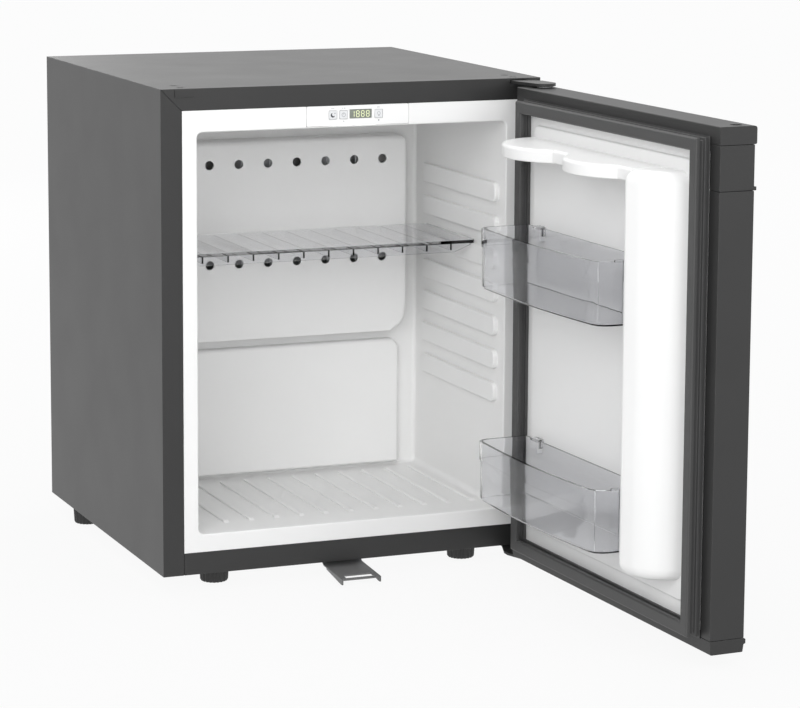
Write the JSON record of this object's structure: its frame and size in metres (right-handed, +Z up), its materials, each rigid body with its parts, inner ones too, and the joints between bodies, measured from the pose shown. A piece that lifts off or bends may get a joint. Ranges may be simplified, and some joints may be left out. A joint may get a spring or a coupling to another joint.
{
  "type": "minibar fridge",
  "caption": "Small steel minibar fridge with its door open, a white cold box with ledges and a clear shelf, door bins, and a silent cooling unit in an open bay at the back.",
  "frame": {"origin": "centre of the whole object's footprint box, door open, at floor level", "axes": "+X to the fridge's right as seen from its front, +Y from front to back, +Z up"},
  "size_m": [0.4172, 0.826, 0.5],
  "materials": {
    "painted_steel": "satin",
    "plated_steel": "satin",
    "white_plastic": "satin",
    "black_plastic": "satin",
    "rubber": "matte",
    "foam": "matte",
    "clear_plastic": "gloss",
    "grey_plastic": "satin",
    "aluminium": "satin",
    "enamelled_tube": "satin",
    "galvanised": "satin",
    "circuit_board": "satin",
    "lens": "satin",
    "cable": "satin"
  },
  "bodies": {
    "cabinet": {"left_side_panel": "painted_steel", "right_side_panel": "painted_steel", "top_panel": "painted_steel", "base_panel": "galvanised", "front_bottom_rail": "painted_steel", "inner_liner": "white_plastic", "insulation": "foam", "back_plate": "galvanised", "evaporator_cover": "white_plastic", "cold_plate": "aluminium", "evaporator_pipe": "enamelled_tube", "drain_trough": "grey_plastic", "drip_pan": "black_plastic", "temperature_sensor": "grey_plastic", "control_panel_housing": "white_plastic", "control_board": "circuit_board", "display_window": "lens", "lamp_lens": "lens", "control_lead": "cable", "top_hinge_plate": "plated_steel", "bottom_hinge_plate": "plated_steel", "hinge_slot_plug": "black_plastic", "top_screw_1": "plated_steel", "top_screw_2": "plated_steel", "top_screw_3": "plated_steel", "top_screw_4": "plated_steel", "low_hinge_screw_1": "plated_steel", "low_hinge_screw_2": "plated_steel", "lock_tongue": "painted_steel", "tongue_screw_1": "plated_steel", "tongue_screw_2": "plated_steel", "foot_front_left": "black_plastic", "foot_front_right": "black_plastic", "foot_rear_left": "black_plastic", "foot_rear_right": "black_plastic", "boiler_jacket": "galvanised", "absorber_vessel": "enamelled_tube", "condenser": "aluminium", "absorber_coil": "enamelled_tube", "boiler_feed_pipe": "enamelled_tube", "power_box": "black_plastic", "mains_inlet": "black_plastic", "heater_lead": "cable", "boiler_bracket": "galvanised", "vessel_bracket": "galvanised"},
    "door": {"door_skin": "painted_steel", "door_top_cap": "black_plastic", "door_bottom_cap": "black_plastic", "door_grip": "black_plastic", "door_liner": "white_plastic", "door_insulation": "foam", "door_gasket": "rubber", "upper_hinge_bush": "grey_plastic", "lower_hinge_bush": "grey_plastic"},
    "shelf": {"shelf": "clear_plastic"},
    "upper_bin": {"upper_bin": "clear_plastic"},
    "lower_bin": {"lower_bin": "clear_plastic"},
    "night_key": {"button_night": "grey_plastic"},
    "set_key": {"button_set": "grey_plastic"},
    "light_key": {"button_light": "grey_plastic"}
  },
  "joints": [
    {"name": "door_swing", "type": "hinge", "parent": "cabinet", "child": "door", "pos_m": [0.18037, -0.02341, 0.25], "axis": [0, 0, 1], "range_deg": [-92, 38]},
    {"name": "shelf_slide", "type": "slide", "parent": "cabinet", "child": "shelf", "axis": [0, -1, 0], "range_m": [0, 0.1]},
    {"name": "upper_bin_lift", "type": "slide", "parent": "door", "child": "upper_bin", "axis": [0, 0, 1], "range_m": [0, 0.012]},
    {"name": "lower_bin_lift", "type": "slide", "parent": "door", "child": "lower_bin", "axis": [0, 0, 1], "range_m": [0, 0.012]},
    {"name": "night_key_press", "type": "slide", "parent": "cabinet", "child": "night_key", "axis": [0, 1, 0], "range_m": [0, 0.001], "stiffness_N_per_m": 600, "springref_m": -0.0005},
    {"name": "set_key_press", "type": "slide", "parent": "cabinet", "child": "set_key", "axis": [0, 1, 0], "range_m": [0, 0.001], "stiffness_N_per_m": 600, "springref_m": -0.0005},
    {"name": "light_key_press", "type": "slide", "parent": "cabinet", "child": "light_key", "axis": [0, 1, 0], "range_m": [0, 0.001], "stiffness_N_per_m": 600, "springref_m": -0.0005}
  ]
}
